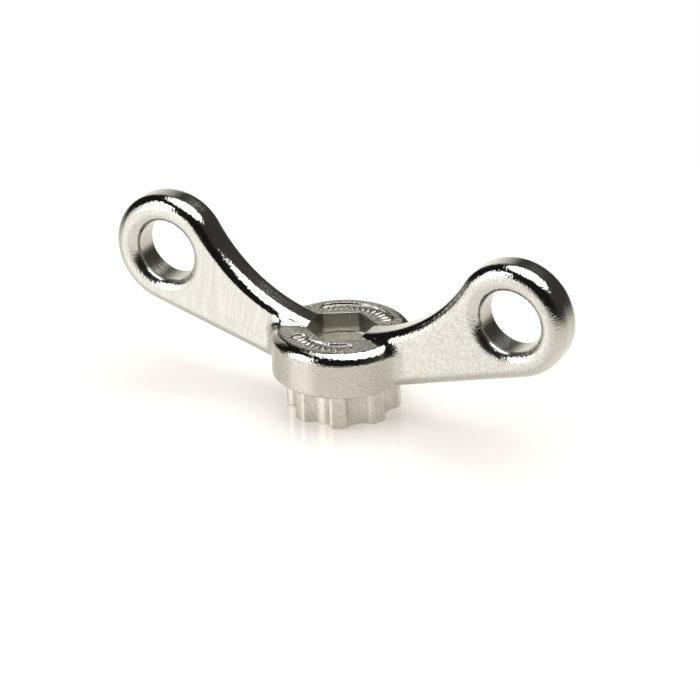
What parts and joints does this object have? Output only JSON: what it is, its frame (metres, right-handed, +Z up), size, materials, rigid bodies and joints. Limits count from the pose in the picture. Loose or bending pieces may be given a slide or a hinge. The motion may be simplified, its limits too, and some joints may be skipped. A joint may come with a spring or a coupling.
{
  "type": "bottom bracket tool",
  "caption": "Plated wing tool with a hexagon socket in its round hub, upswept wings ending in eyes, and a hollow lobed nose for turning the splined end cap of a hollow crank.",
  "frame": {"origin": "middle of the nose's lower end, on the axis of the hub, which is also the bottom centre of the whole tool", "axes": "+Z up along the axis of the hub, from the nose to the hexagon socket; +X along the wings; -Y is the side that faces the camera in the picture"},
  "size_m": [0.0664, 0.0186, 0.0257],
  "materials": {
    "plated_casting": "satin nickel-chrome plate over a blasted casting, with brighter rounded edges",
    "satin_steel": "satin, fine blasted grain"
  },
  "bodies": {
    "root": {"wing_handle": "plated_casting", "splined_nose": "satin_steel"}
  },
  "joints": []
}
